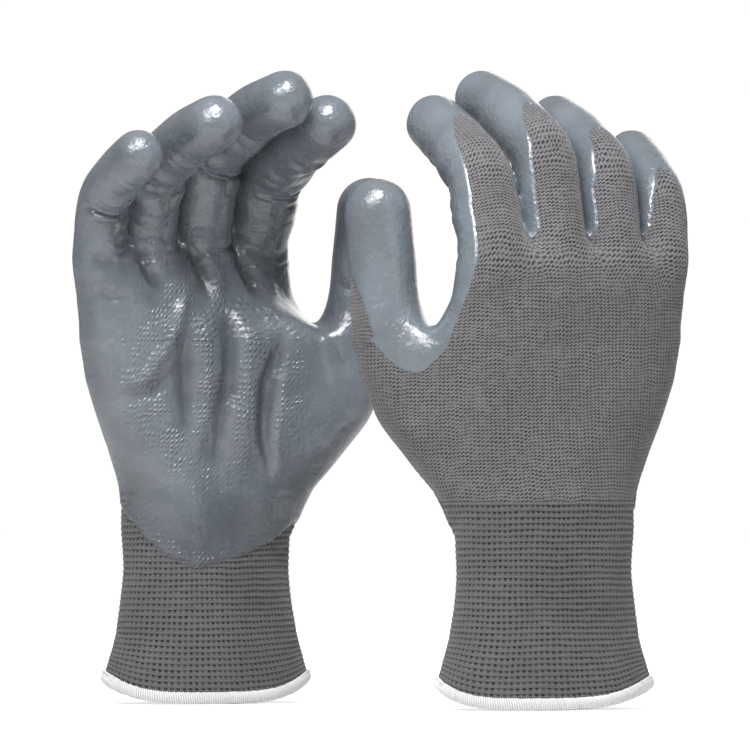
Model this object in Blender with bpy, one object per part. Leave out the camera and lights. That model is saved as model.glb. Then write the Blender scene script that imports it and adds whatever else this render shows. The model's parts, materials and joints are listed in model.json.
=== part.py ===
"""A pair of palm-coated work gloves, standing on their cuffs with the fingers half closed.

Each glove is a seamless knitted liner with a film of rubber on the palm side, an elastic thread laid
into the cuff and an overlocked hem. Liner and film are divided at the knuckles into the zones that
move. Inside a glove, side points to the thumb, forward to the palm side and up to the fingertips.
Sizes are in millimetres here and in metres in the scene; the origin is on the ground under the pair.
"""

import math

import bmesh
import bpy
import numpy as np
from mathutils import Vector

MM = 0.001

# How the pair stands: each glove's place on the ground and its turn about the vertical.
PAIR_SPACING = 125.2
PAIR_DEPTH = 104.0
GLOVES = {
    "left": {"place": (-PAIR_SPACING / 2, PAIR_DEPTH / 2), "turn": 38.0},
    "right": {"place": (PAIR_SPACING / 2, -PAIR_DEPTH / 2), "turn": 210.0},
}

# Heights of the zones.
CUFF_HEIGHT = 77.0
PALM_LENGTH = 81.5
CROTCH_SHARE = 0.712
KNUCKLE_LINE = CUFF_HEIGHT + PALM_LENGTH
THUMB_CROTCH = CUFF_HEIGHT + CROTCH_SHARE * PALM_LENGTH

# Wall thicknesses and the gaps between neighbouring zones.
KNIT_WALL = 1.2
FILM_WALL = 0.9
LAYER_GAP = 0.35
ZONE_GAP = 0.4
FILM_STACK = LAYER_GAP + FILM_WALL

# The hem: a rolled band whose two sides ride up.
HEM_HEIGHT = 4.2
HEM_PROUD = 0.6
HEM_WALL = 2.6
HEM_CHAMFER = 0.7
HEM_RISE = 6.0
RISE_FADES_BY = 34.0

# The elastic thread inside the cuff.
THREAD_RADIUS = 0.45
THREAD_TURNS = 4
THREAD_FROM = 14.0
THREAD_TO = 66.0

# Outline of the hand at heights given as shares of the cuff, then of the palm:
# share, middle, half breadth, half depth, squareness.
CUFF_ROWS = (
    (0.00, 0.0, 43.0, 29.0, 2.0),
    (0.18, 0.0, 40.5, 26.0, 2.0),
    (0.33, 0.0, 37.5, 24.0, 2.0),
    (0.46, 0.0, 36.3, 22.5, 2.0),
    (0.65, 0.0, 35.5, 21.5, 2.0),
    (0.80, 0.0, 35.5, 21.5, 2.0),
)
PALM_ROWS = (
    (0.00, 0.0, 36.0, 21.2, 2.0),
    (0.09, -2.0, 36.5, 19.2, 2.1),
    (0.21, -4.0, 38.5, 17.6, 2.2),
    (0.36, -7.0, 41.0, 16.4, 2.4),
    (0.53, -9.5, 43.5, 15.8, 2.6),
    (0.71, -10.5, 45.5, 15.4, 2.8),
    (1.00, -11.0, 47.6, 14.6, 3.0),
)
# Root of the thumb inside the palm: share of the palm, side, forward, radius.
THUMB_ROWS = (
    (-0.40, 10.0, 1.0, 16.0),
    (0.00, 19.0, 5.0, 19.3),
    (0.09, 24.0, 10.0, 18.3),
    (0.21, 30.0, 17.0, 17.5),
    (0.36, 38.0, 23.0, 16.6),
    (0.53, 44.0, 27.0, 15.0),
    (0.71, 49.0, 30.0, 13.2),
)
# Where the rings of the palm and of the knuckles have their middle, from the wrist to the crotch.
WRIST_SHARE = 0.8
PALM_MIDDLE = np.array((10.0, 5.0))
KNUCKLE_MIDDLE = np.array((-10.0, 0.0))
# The line between the roots of palm and thumb at the crotch: a point on it, and its facing.
CROTCH_POINT = np.array((37.0, 18.5))
CROTCH_FACING = np.array((0.893, 0.45))

# How far above the crotch the palm has lost every trace of the thumb.
KNUCKLES_CLEAR_BY = 12.0

# Each finger: the middle of its root, the half breadth and depth there, its radius from the
# first bend and at the tip, and its bones as length and lean forward from upright.
ROOT_ROUNDS_BY = 22.0
BEND_LENGTH = 16.0
FINGERS = {
    "index": {"root": (23.2, 0.0), "base": (13.8, 14.2), "radius": (11.4, 10.3), "drift": -8.2,
              "bones": ((42.0, 27.0), (26.5, 63.0), (17.2, 69.5))},
    "middle": {"root": (-4.6, 0.0), "base": (13.0, 14.4), "radius": (11.6, 10.3), "drift": -3.4,
               "bones": ((46.8, 16.0), (32.2, 62.0), (19.6, 75.0))},
    "ring": {"root": (-28.6, 0.0), "base": (10.4, 14.3), "radius": (10.9, 10.3), "drift": -6.4,
             "bones": ((41.2, 18.0), (26.9, 63.0), (16.6, 74.0))},
    "little": {"root": (-49.8, 0.0), "base": (10.0, 12.4), "radius": (9.6, 9.1), "drift": -8.6,
               "bones": ((32.2, 22.0), (20.0, 58.0), (9.5, 66.0))},
}
THUMB = {"root": (49.0, 30.0), "base": (13.7, 13.7), "radius": (12.6, 12.0), "drift": 2.2,
         "bones": ((25.0, 8.0), (23.2, 3.0))}
DIGITS = {**FINGERS, "thumb": THUMB}

# The zone around each knuckle that bends, along the finger.
HINGE_AT = 8.0
SLEEVE_LENGTH = 17.5
THUMB_HINGE_AT = 5.0
THUMB_SLEEVE_LENGTH = 12.0

# The film: its lowest edge on the palm and beside it, and how far it leaves the back of a finger.
FILM_LOW = 52.0
FILM_SIDE_RISE = 20.0
FILM_MIDDLE = FILM_LOW + FILM_SIDE_RISE / 2
FILM_WRAP = -0.30
WINDOW_WIDTH = -0.5
TIP_CAP = 14.0

# How finely the solids are divided.
HAND_COLUMNS = 24
FINGER_COLUMNS = 12
PALM_STEPS = 5
SLEEVE_STEPS = 2
STALL_STEP = 11.0
PATH_STEPS = 40
DOME_STEPS = (32.0, 62.0)
FACINGS = np.linspace(0.0, 2 * math.pi, 181)[:-1]
# A facing further than this from a direction, as a cosine, doesn't bound the outline there.
LEAST_COSINE = 0.02


def smooth(low, high, value):
    share = np.clip((value - low) / (high - low), 0.0, 1.0)
    return share * share * (3 - 2 * share)


def units(angles):
    return np.stack((np.cos(angles), np.sin(angles)), axis=-1)


def height_rows(rows, base, length):
    """The rows with their first column turned from a share of a zone into a height."""
    return [(base + row[0] * length, *row[1:]) for row in rows]


HAND_TABLE = np.array(height_rows(CUFF_ROWS, 0.0, CUFF_HEIGHT)
                      + height_rows(PALM_ROWS, CUFF_HEIGHT, PALM_LENGTH))
THUMB_TABLE = np.array(height_rows(THUMB_ROWS, CUFF_HEIGHT, PALM_LENGTH))


def read_table(table, height):
    return [float(np.interp(height, table[:, 0], table[:, i])) for i in range(1, table.shape[1])]


def hand_oval(height):
    """Points round the hand without its thumb."""
    middle, breadth, depth, square = read_table(HAND_TABLE, height)
    cosine, sine = units(FACINGS).T
    reach = (np.abs(cosine / breadth) ** square + np.abs(sine / depth) ** square) ** (-1 / square)
    return units(FACINGS) * reach[:, None] + (middle, 0.0)


def thumb_disc(height):
    side, forward, radius = read_table(THUMB_TABLE, height)
    return units(FACINGS) * radius + (side, forward)


def reach_round(points, centre, angles):
    """How far the outline stretched round the points lies from the centre, in each direction."""
    support = ((points - centre) @ units(FACINGS).T).max(axis=0)
    cosine = np.cos(FACINGS[None, :] - angles[:, None])
    bounds = cosine > LEAST_COSINE
    far = np.where(bounds, support[None, :] / np.maximum(cosine, LEAST_COSINE), np.inf)
    return far.min(axis=1)


def reach_line(centre, angles, facing):
    """How far the crotch line lies from the centre, in each direction; endless behind it."""
    ahead = units(angles) @ facing
    distance = (CROTCH_POINT - centre) @ facing
    return np.where(ahead > LEAST_COSINE, distance / np.maximum(ahead, LEAST_COSINE), np.inf)


def hem_lift(angles, height):
    """How far the sides of the cuff ride up, fading with the height."""
    side = smooth(0.55, 1.0, np.abs(np.cos(angles)))
    return HEM_RISE * side * (1 - smooth(0.0, RISE_FADES_BY, height))


def placed(centre, angles, reach, heights):
    flat = units(angles) * reach[:, None] + centre
    return np.column_stack((flat, np.broadcast_to(heights, angles.shape)))


def angles_round(columns):
    return np.arange(columns) * 2 * math.pi / columns


def facing_forward(column, columns):
    """How squarely the middle of a column of cells faces the palm side, from -1 to 1."""
    return math.sin((column + 0.5) * 2 * math.pi / columns)


def hand_ring(height, inset=0.0):
    """One ring of the cuff or palm below the crotch, drawn in by inset."""
    angles = angles_round(HAND_COLUMNS)
    outline = np.concatenate((hand_oval(height), thumb_disc(height)))
    centre = PALM_MIDDLE * smooth(CUFF_HEIGHT * WRIST_SHARE, THUMB_CROTCH, height)
    reach = reach_round(outline, centre, angles) - inset
    return placed(centre, angles, reach, height + hem_lift(angles, height))


def knuckle_ring(height, inset=0.0):
    """One ring of the palm above the crotch, where it is cut off from the thumb."""
    angles = angles_round(HAND_COLUMNS)
    outline = np.concatenate((hand_oval(THUMB_CROTCH), thumb_disc(THUMB_CROTCH)))
    shared = np.minimum(reach_round(outline, KNUCKLE_MIDDLE, angles),
                        reach_line(KNUCKLE_MIDDLE, angles, CROTCH_FACING) - ZONE_GAP)
    own = reach_round(hand_oval(height), KNUCKLE_MIDDLE, angles)
    share = smooth(THUMB_CROTCH, THUMB_CROTCH + KNUCKLES_CLEAR_BY, height)
    return placed(KNUCKLE_MIDDLE, angles, shared * (1 - share) + own * share - inset, height)


def digit_length(digit):
    return sum(length for length, _ in digit["bones"])


def digit_path(digit, along):
    """The middle of a finger at a length along it, and its lean from upright."""
    steps = np.linspace(0.0, along, PATH_STEPS)
    lean = np.zeros_like(steps)
    bend_at = HINGE_AT
    before = 0.0
    for length, angle in digit["bones"]:
        lean += (angle - before) * smooth(bend_at - BEND_LENGTH / 2, bend_at + BEND_LENGTH / 2, steps)
        bend_at = length if before == 0.0 else bend_at + length
        before = angle
    lean = np.radians(lean)
    forward = np.trapz(np.sin(lean), steps)
    up = np.trapz(np.cos(lean), steps)
    side = digit["drift"] * along / digit_length(digit)
    base = THUMB_CROTCH if digit is THUMB else KNUCKLE_LINE
    middle = np.array((digit["root"][0] + side, digit["root"][1] + forward, base + up))
    return middle, float(lean[-1])


def digit_ring(digit, along, inset, shrink=1.0, advance=0.0):
    """One ring square to the finger; shrink and advance place the rings of the round tip."""
    middle, lean = digit_path(digit, along)
    angles = angles_round(FINGER_COLUMNS)
    first, last = digit["radius"]
    share = smooth(0.0, ROOT_ROUNDS_BY, along)
    radius = first + (last - first) * smooth(ROOT_ROUNDS_BY, digit_length(digit), along)
    breadth, depth = (edge * (1 - share) + radius * share for edge in digit["base"])
    sideways = np.cos(angles) * (breadth - inset) * shrink
    outward = np.sin(angles) * (depth - inset) * shrink
    onward = np.array((0.0, math.sin(lean), math.cos(lean)))
    palmward = np.array((0.0, math.cos(lean), -math.sin(lean)))
    ring = middle + onward * advance + sideways[:, None] * (1.0, 0.0, 0.0) + outward[:, None] * palmward
    if digit is THUMB and along < THUMB_SLEEVE_LENGTH:
        return thumb_root(ring, along, inset)
    return ring


def thumb_root(ring, along, inset):
    """The thumb's lower rings, which start as its part of the outline at the crotch."""
    centre = np.array(THUMB["root"])
    angles = angles_round(FINGER_COLUMNS)
    outline = np.concatenate((hand_oval(THUMB_CROTCH), thumb_disc(THUMB_CROTCH)))
    reach = np.minimum(reach_round(outline, centre, angles),
                       reach_line(centre, angles, -CROTCH_FACING) - ZONE_GAP) - inset
    start = placed(centre, angles, reach, THUMB_CROTCH + ZONE_GAP / 2 + along)
    share = smooth(0.0, THUMB_SLEEVE_LENGTH, along)
    return start * (1 - share) + ring * share


def digit_grid(digit, stations, inset, with_tip):
    rows = [digit_ring(digit, along, inset) for along in stations]
    if not with_tip:
        return np.array(rows), None
    end = digit_length(digit)
    radius = digit["radius"][1] - inset
    for step in DOME_STEPS:
        turn = math.radians(step)
        rows.append(digit_ring(digit, end, inset, math.cos(turn), radius * math.sin(turn)))
    middle, lean = digit_path(digit, end)
    tip = middle + np.array((0.0, math.sin(lean), math.cos(lean))) * radius
    return np.array(rows), tip


def shell(name, outer, inner, tips, keep, material):
    """A closed wall between two grids of points; keep says which of the cells between them exist.

    Every cell is cut along the same diagonal, so that layers on one another stay parallel."""
    rows, columns = outer.shape[:2]
    faces = []
    for row in range(rows - 1):
        for column in range(columns):
            following = (column + 1) % columns
            if keep(row, column):
                faces.append([(row, column), (row, following), (row + 1, following)])
                faces.append([(row, column), (row + 1, following), (row + 1, column)])
    if tips[0] is not None:
        for column in range(columns):
            faces.append([(rows - 1, column), (rows - 1, (column + 1) % columns), "tip"])
    mesh = bmesh.new()
    layers = []
    for grid, tip in ((outer, tips[0]), (inner, tips[1])):
        points = {}
        for key in {key for face in faces for key in face}:
            place = tip if key == "tip" else grid[key]
            points[key] = mesh.verts.new((place[0] * MM, -place[1] * MM, place[2] * MM))
        layers.append(points)
    rims = {}
    for face in faces:
        mesh.faces.new([layers[0][key] for key in face])
        mesh.faces.new([layers[1][key] for key in reversed(face)])
        for start, stop in zip(face, face[1:] + face[:1]):
            rims.setdefault(frozenset((start, stop)), []).append((start, stop))
    for uses in rims.values():
        if len(uses) == 1:
            start, stop = uses[0]
            mesh.faces.new((layers[0][stop], layers[0][start], layers[1][start], layers[1][stop]))
    return finished(name, mesh, material)


def finished(name, mesh, material):
    bmesh.ops.recalc_face_normals(mesh, faces=mesh.faces)
    data = bpy.data.meshes.new(name)
    mesh.to_mesh(data)
    mesh.free()
    data.shade_smooth()
    data.set_sharp_from_angle(angle=math.radians(40))
    data.materials.append(material)
    made = bpy.data.objects.new(name, data)
    bpy.context.collection.objects.link(made)
    return made


def make_material(name, colour, roughness):
    material = bpy.data.materials.new(name)
    material.use_nodes = True
    surface = material.node_tree.nodes["Principled BSDF"]
    surface.inputs["Base Color"].default_value = (*colour, 1.0)
    surface.inputs["Roughness"].default_value = roughness
    surface.inputs["Metallic"].default_value = 0.0
    return material


def everywhere(_row, _column):
    return True


def make_cuff(label, knit):
    low = HEM_HEIGHT + ZONE_GAP
    heights = [low, low + (FILM_LOW - low) / 4, low + (FILM_LOW - low) / 2, FILM_LOW, FILM_MIDDLE,
               CUFF_HEIGHT - ZONE_GAP / 2]
    outer = np.array([hand_ring(height) for height in heights])
    inner = np.array([hand_ring(height, KNIT_WALL) for height in heights])
    return shell(label + "_cuff", outer, inner, (None, None), everywhere, knit)


def make_hem(label, yarn):
    """A flat-bottomed ring with its four long edges chamfered."""
    out = -HEM_PROUD
    low = out + HEM_WALL
    profile = ((out + HEM_CHAMFER, 0.0), (out, HEM_CHAMFER), (out, HEM_HEIGHT - HEM_CHAMFER),
               (out + HEM_CHAMFER, HEM_HEIGHT), (low - HEM_CHAMFER, HEM_HEIGHT),
               (low, HEM_HEIGHT - HEM_CHAMFER), (low, HEM_CHAMFER), (low - HEM_CHAMFER, 0.0))
    mesh = bmesh.new()
    rings = []
    for inset, height in profile:
        ring = hand_ring(0.0, inset)
        ring[:, 2] += height
        rings.append([mesh.verts.new((x * MM, -y * MM, z * MM)) for x, y, z in ring])
    for one, other in zip(rings, rings[1:] + rings[:1]):
        for column in range(HAND_COLUMNS):
            following = (column + 1) % HAND_COLUMNS
            mesh.faces.new((one[column], one[following], other[following], other[column]))
    return finished(label + "_hem", mesh, yarn)


def make_thread(label, rubber):
    """The elastic thread: a helix just inside the cuff's wall."""
    count = THREAD_TURNS * HAND_COLUMNS + 1
    inset = KNIT_WALL + LAYER_GAP + THREAD_RADIUS
    data = bpy.data.curves.new(label + "_elastic_thread", "CURVE")
    data.dimensions = "3D"
    data.bevel_depth = THREAD_RADIUS * MM
    data.bevel_resolution = 0
    data.use_fill_caps = True
    spline = data.splines.new("POLY")
    spline.points.add(count - 1)
    for step in range(count):
        height = THREAD_FROM + (THREAD_TO - THREAD_FROM) * step / (count - 1)
        place = hand_ring(height, inset)[step % HAND_COLUMNS]
        spline.points[step].co = (place[0] * MM, -place[1] * MM, place[2] * MM, 1.0)
    data.materials.append(rubber)
    made = bpy.data.objects.new(data.name, data)
    bpy.context.collection.objects.link(made)
    return made


def make_palm(label, knit, film):
    heights = list(np.linspace(CUFF_HEIGHT + ZONE_GAP / 2, THUMB_CROTCH - ZONE_GAP / 2, PALM_STEPS + 1))
    outer = np.array([hand_ring(height) for height in heights])
    inner = np.array([hand_ring(height, KNIT_WALL) for height in heights])
    palm = shell(label + "_palm_knit", outer, inner, (None, None), everywhere, knit)

    rows = [FILM_LOW, FILM_MIDDLE, CUFF_HEIGHT - ZONE_GAP / 2, *heights]
    outer = np.array([hand_ring(height, -FILM_STACK) for height in rows])
    inner = np.array([hand_ring(height, -LAYER_GAP) for height in rows])

    def coated(row, column):
        facing = facing_forward(column, HAND_COLUMNS)
        edge = FILM_LOW + FILM_SIDE_RISE * (1 - facing)
        return facing > FILM_WRAP and (rows[row] + rows[row + 1]) / 2 > edge

    return palm, shell(label + "_palm_film", outer, inner, (None, None), coated, film)


def make_knuckles(label, knit, film):
    base = THUMB_CROTCH + ZONE_GAP / 2
    heights = [base, base + KNUCKLES_CLEAR_BY / 2, base + KNUCKLES_CLEAR_BY, KNUCKLE_LINE]
    outer = np.array([knuckle_ring(height) for height in heights])
    inner = np.array([knuckle_ring(height, KNIT_WALL) for height in heights])
    knuckles = shell(label + "_knuckle_knit", outer, inner, (None, None), everywhere, knit)
    rows = heights[1:]
    outer = np.array([knuckle_ring(height, -FILM_STACK) for height in rows])
    inner = np.array([knuckle_ring(height, -LAYER_GAP) for height in rows])

    def coated(_row, column):
        return facing_forward(column, HAND_COLUMNS) > FILM_WRAP

    return knuckles, shell(label + "_knuckle_film", outer, inner, (None, None), coated, film)


def hinge_place(digit):
    along = THUMB_HINGE_AT if digit is THUMB else HINGE_AT
    return digit_path(digit, along)[0]


def make_digit(label, name, digit, knit, film):
    """The bending sleeve at the root, the stall above it and the film round the stall."""
    sleeve_end = THUMB_SLEEVE_LENGTH if digit is THUMB else SLEEVE_LENGTH
    lowest = 0.0 if digit is THUMB else ZONE_GAP
    end = digit_length(digit)
    stations = np.linspace(lowest, sleeve_end, SLEEVE_STEPS + 1)
    outer, _ = digit_grid(digit, stations, FILM_STACK, False)
    inner, _ = digit_grid(digit, stations, FILM_STACK + KNIT_WALL, False)
    prefix = f"{label}_{name}_"
    sleeve = shell(prefix + "sleeve", outer, inner, (None, None), everywhere, knit)

    start = sleeve_end + ZONE_GAP
    steps = round((end - start) / STALL_STEP)
    stations = np.linspace(start, end, steps + 1)
    outer, outer_tip = digit_grid(digit, stations, FILM_STACK, True)
    inner, inner_tip = digit_grid(digit, stations, FILM_STACK + KNIT_WALL, True)
    stall = shell(prefix + "stall", outer, inner, (outer_tip, inner_tip), everywhere, knit)

    outer, outer_tip = digit_grid(digit, stations, 0.0, True)
    inner, inner_tip = digit_grid(digit, stations, FILM_WALL, True)

    def coated(row, column):
        facing = facing_forward(column, FINGER_COLUMNS)
        in_cap = row >= steps or (stations[row] + stations[row + 1]) / 2 > end - TIP_CAP
        return in_cap or facing > WINDOW_WIDTH

    skin = shell(prefix + "film", outer, inner, (outer_tip, inner_tip), coated, film)
    return sleeve, (stall, skin)


def put_under(made, parent, origin=(0.0, 0.0, 0.0)):
    """Parents an object and moves its origin without moving its shape."""
    offset = Vector((origin[0] * MM, -origin[1] * MM, origin[2] * MM))
    if offset.length > 0:
        for vertex in made.data.vertices:
            vertex.co -= offset
    made.location = offset
    made.parent = parent


def make_glove(label, place, turn, materials):
    knit, film, yarn, rubber = materials
    base = bpy.data.objects.new(label + "_glove", None)
    base.location = (place[0] * MM, place[1] * MM, 0.0)
    base.rotation_euler = (0.0, 0.0, math.radians(turn))
    bpy.context.collection.objects.link(base)
    fixed = [make_cuff(label, knit), make_hem(label, yarn), make_thread(label, rubber)]
    fixed += [*make_palm(label, knit, film), *make_knuckles(label, knit, film)]
    for name, digit in DIGITS.items():
        sleeve, moving = make_digit(label, name, digit, knit, film)
        fixed.append(sleeve)
        for made in moving:
            put_under(made, base, hinge_place(digit))
    for made in fixed:
        put_under(made, base)
    return base


def centre_pair(bases):
    """Moves both gloves so that the origin lies under the middle of the pair's box."""
    bpy.context.view_layer.update()
    graph = bpy.context.evaluated_depsgraph_get()
    points = []
    for made in bpy.data.objects:
        if made.type != "EMPTY":
            ready = made.evaluated_get(graph)
            data = ready.to_mesh()
            points += [ready.matrix_world @ vertex.co for vertex in data.vertices]
            ready.to_mesh_clear()
    points = np.array([tuple(point) for point in points])
    middle = (points.min(axis=0) + points.max(axis=0)) / 2
    for base in bases:
        base.location.x -= middle[0]
        base.location.y -= middle[1]


def clear_scene():
    for old in list(bpy.data.objects):
        bpy.data.objects.remove(old, do_unlink=True)


def main():
    clear_scene()
    materials = (
        make_material("grey_knit", (0.155, 0.145, 0.142), 0.9),
        make_material("grey_rubber_film", (0.118, 0.137, 0.15), 0.3),
        make_material("white_overlock", (0.72, 0.72, 0.72), 0.85),
        make_material("elastic_rubber", (0.6, 0.58, 0.55), 0.7),
    )
    bases = [make_glove(label, **glove, materials=materials) for label, glove in GLOVES.items()]
    centre_pair(bases)


main()
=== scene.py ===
"""The looks of a pair of palm-coated work gloves: knitted liner, rubber film, ribbed cuff, overlocked hem.

One hand is modelled in the glove's own directions, in millimetres: side points to the thumb, forward to
the palm side and up to the fingertips. It is then set on each glove of the frame.
"""

import json
import math

import bmesh
import bpy
import numpy as np
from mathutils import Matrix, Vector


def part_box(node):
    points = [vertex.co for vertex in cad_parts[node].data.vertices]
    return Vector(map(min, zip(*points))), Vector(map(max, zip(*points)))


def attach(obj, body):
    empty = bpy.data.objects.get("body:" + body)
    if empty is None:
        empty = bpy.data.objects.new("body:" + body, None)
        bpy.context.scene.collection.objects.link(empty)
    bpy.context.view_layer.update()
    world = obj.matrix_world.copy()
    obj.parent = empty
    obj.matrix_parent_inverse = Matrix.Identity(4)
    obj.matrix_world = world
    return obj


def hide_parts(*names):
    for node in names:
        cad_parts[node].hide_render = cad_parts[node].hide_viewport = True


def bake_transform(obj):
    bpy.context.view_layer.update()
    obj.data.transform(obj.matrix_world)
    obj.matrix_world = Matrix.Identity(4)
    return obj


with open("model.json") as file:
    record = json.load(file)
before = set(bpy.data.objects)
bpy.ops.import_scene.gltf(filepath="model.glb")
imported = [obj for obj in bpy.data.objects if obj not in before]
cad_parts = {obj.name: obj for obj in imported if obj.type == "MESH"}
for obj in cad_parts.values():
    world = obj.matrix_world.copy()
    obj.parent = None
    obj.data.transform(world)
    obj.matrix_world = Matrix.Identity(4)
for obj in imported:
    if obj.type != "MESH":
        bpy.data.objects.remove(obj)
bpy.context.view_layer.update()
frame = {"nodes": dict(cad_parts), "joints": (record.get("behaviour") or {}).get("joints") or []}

MM = 0.001
LABELS = ("left", "right")

# Heights of the zones and the places where fingers and thumb leave the hand.
CUFF_HEIGHT = 77.0
KNUCKLE_LINE = 158.5
THUMB_CROTCH = 135.0
FINGERS_PART_AT = 171.0
FINGERS_BEND_BY = 187.0
THUMB_PARTS_AT = 139.0
THUMB_BENDS_BY = 152.0

# Outline of the hand: height, middle, half breadth, half depth, squareness.
HAND_TABLE = np.array((
    (0.0, 0.0, 43.0, 29.0, 2.0), (13.9, 0.0, 40.5, 26.0, 2.0), (25.4, 0.0, 37.5, 24.0, 2.0),
    (35.4, 0.0, 36.3, 22.5, 2.0), (50.0, 0.0, 35.5, 21.5, 2.0), (61.6, 0.0, 35.5, 21.5, 2.0),
    (77.0, 0.0, 36.0, 21.2, 2.0), (84.3, -2.0, 36.5, 19.2, 2.1), (94.1, -4.0, 38.5, 17.6, 2.2),
    (106.3, -7.0, 41.0, 16.4, 2.4), (120.2, -9.5, 43.5, 15.8, 2.6), (134.9, -10.5, 45.5, 15.4, 2.8),
    (158.5, -11.0, 47.6, 14.6, 3.0)))
# Root of the thumb inside the palm: height, side, forward, radius.
THUMB_TABLE = np.array((
    (44.4, 10.0, 1.0, 16.0), (77.0, 19.0, 5.0, 19.3), (84.3, 24.0, 10.0, 18.3), (94.1, 30.0, 17.0, 17.5),
    (106.3, 38.0, 23.0, 16.6), (120.2, 44.0, 27.0, 15.0), (134.9, 49.0, 30.0, 13.2)))
WRIST = 61.6
PALM_MIDDLE = np.array((10.0, 5.0))
KNUCKLE_MIDDLE = np.array((-10.0, 0.0))
CROTCH_POINT = np.array((37.0, 18.5))
CROTCH_FACING = np.array((0.893, 0.45))
KNUCKLES_CLEAR_BY = 23.0
FACINGS = np.linspace(0.0, 2 * math.pi, 181)[:-1]
LEAST_COSINE = 0.02

# Each finger: the middle of its root, half breadth and depth there, radius first and last, sideways
# drift, bones as length and lean; then the knit window on its back: half angle, and where it narrows
# and ends.
DIGITS = {
    "index": {"root": (22.3, 0.0), "base": (14.6, 14.4), "radius": (12.3, 10.5), "drift": -8.2,
              "bones": ((42.0, 27.0), (26.5, 63.0), (17.2, 69.5)), "window": (52.0, 42.0, 68.0)},
    "middle": {"root": (-4.6, 0.0), "base": (13.0, 14.4), "radius": (11.6, 10.3), "drift": -3.4,
               "bones": ((46.8, 16.0), (32.2, 62.0), (19.6, 75.0)), "window": (52.0, 42.0, 66.0)},
    "ring": {"root": (-28.6, 0.0), "base": (10.4, 14.3), "radius": (10.9, 10.3), "drift": -6.4,
             "bones": ((41.2, 18.0), (26.9, 63.0), (16.6, 74.0)), "window": (50.0, 32.0, 54.0)},
    "little": {"root": (-49.8, 0.0), "base": (10.0, 12.4), "radius": (9.6, 9.1), "drift": -8.6,
               "bones": ((32.2, 22.0), (20.0, 58.0), (9.5, 66.0)), "window": (52.0, 18.0, 36.0)},
    "thumb": {"root": (49.0, 30.0), "base": (13.7, 13.7), "radius": (12.6, 12.0), "drift": 2.2,
              "bones": ((25.0, 8.0), (23.2, 3.0)), "window": (37.0, 8.0, 28.0)},
}
NAMES = list(DIGITS)
THUMB = DIGITS["thumb"]
HINGE_AT = 8.0
BEND_LENGTH = 16.0
ROOT_ROUNDS_BY = 22.0
THUMB_ROUNDS_BY = 12.0

# How finely the skin is made.
VOXEL = 0.93
SOFTENING = 14
WEB_ENDS = np.array(((37.0, 19.0, 140.0), (0.0, 17.0, 140.0)))
WEB_SOFT_WITHIN = (12.0, 27.0)
ROOTS_SOFT = (148.0, 160.0, 170.0, 181.0)
SOFT_ROUNDS = 130
HAND_COLUMNS = 96
FINGER_COLUMNS = 48

# The film: how far it lies over the knit, and where its edges run.
FILM_LIFT = 0.45
FILM_CUFF_LIFT = 0.4
FILM_TUCK = -0.45
FILM_LOW = 52.0
ULNAR_EDGE = -0.54
THUMB_EDGE = 0.57
THUMB_WEB = (47.5, 124.0)

# Pitches of the knit: between stitches along a row, and between rows.
KNIT_PITCH = (1.6, 1.36)
FILM_PITCH = (1.9, 2.2)
CUFF_STITCHES = 92
CUFF_ROW = 2.24

# Folds and ridges of the palm: places across and up it, half width, depth (negative stands proud),
# and the shares of the route over which it fades in and from which it fades out.
FOLDS = (
    (((-24.7, 174.9), (-23.4, 165.0), (-19.7, 158.8), (-12.5, 151.5)), 2.6, 2.5, 0.0, 0.55),
    (((-7.4, 171.8), (-2.5, 162.5), (0.6, 153.9), (3.0, 148.5)), 2.6, 2.6, 0.0, 0.55),
    (((11.1, 169.9), (14.2, 162.5), (18.5, 152.7), (22.0, 147.5)), 2.6, 2.4, 0.0, 0.55),
    (((-6.4, 150.0), (-6.8, 128.0), (-7.4, 109.5), (-6.0, 88.0)), 3.4, 2.1, 0.3, 0.55),
    (((8.6, 157.0), (8.6, 134.2), (8.0, 115.7), (4.3, 97.2), (2.5, 78.0)), 3.6, 2.3, 0.25, 0.6),
    (((31.5, 141.0), (25.6, 129.0), (23.4, 120.6), (22.8, 109.5), (21.2, 97.2), (21.8, 76.0)),
     2.9, 3.2, 0.3, 0.6),
    (((-7.0, 157.0), (-9.3, 140.3), (-14.8, 129.2), (-22.8, 122.5), (-36.0, 116.8)), 2.6, -1.5, 0.2, 0.7),
    (((-6.5, 133.0), (-11.7, 123.6), (-20.3, 116.2), (-36.0, 111.0)), 2.6, 1.0, 0.3, 0.7),
    (((-1.2, 169.9), (4.3, 158.8), (6.6, 145.3)), 2.2, -0.9, 0.2, 0.5),
    (((16.6, 165.0), (24.0, 153.9), (27.1, 140.0)), 2.3, -0.8, 0.2, 0.5),
    (((1.2, 148.0), (1.6, 128.0), (0.6, 109.5), (-1.0, 92.0)), 3.2, -0.7, 0.2, 0.6),
    (((16.6, 145.3), (16.6, 120.0), (14.6, 100.3), (11.7, 81.0)), 3.2, -0.8, 0.2, 0.6),
    (((27.5, 122.0), (27.8, 108.0), (26.0, 92.0)), 2.4, -0.7, 0.3, 0.6),
    (((14.4, 170.5), (19.6, 167.2), (24.8, 166.6), (33.5, 167.4)), 1.6, 0.8, 0.3, 0.7),
    (((-44.0, 168.0), (-38.0, 165.0), (-31.0, 166.0)), 2.0, 0.8, 0.3, 0.6),
    (((-42.0, 155.0), (-34.0, 150.5), (-25.0, 152.0)), 2.2, 0.9, 0.3, 0.6),
    (((39.5, 139.0), (43.0, 128.0), (47.0, 115.0)), 1.9, 0.8, 0.3, 0.5),
    (((45.0, 139.0), (50.0, 129.0), (55.5, 118.0)), 1.8, 0.8, 0.3, 0.5),
)
WRINKLE_LENGTH = 9.5
WRINKLE_BREADTH = 24.0


def smooth(low, high, value):
    share = np.clip((value - low) / (high - low), 0.0, 1.0)
    return share * share * (3 - 2 * share)


def units(angles):
    return np.stack((np.cos(angles), np.sin(angles)), axis=-1)


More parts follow.
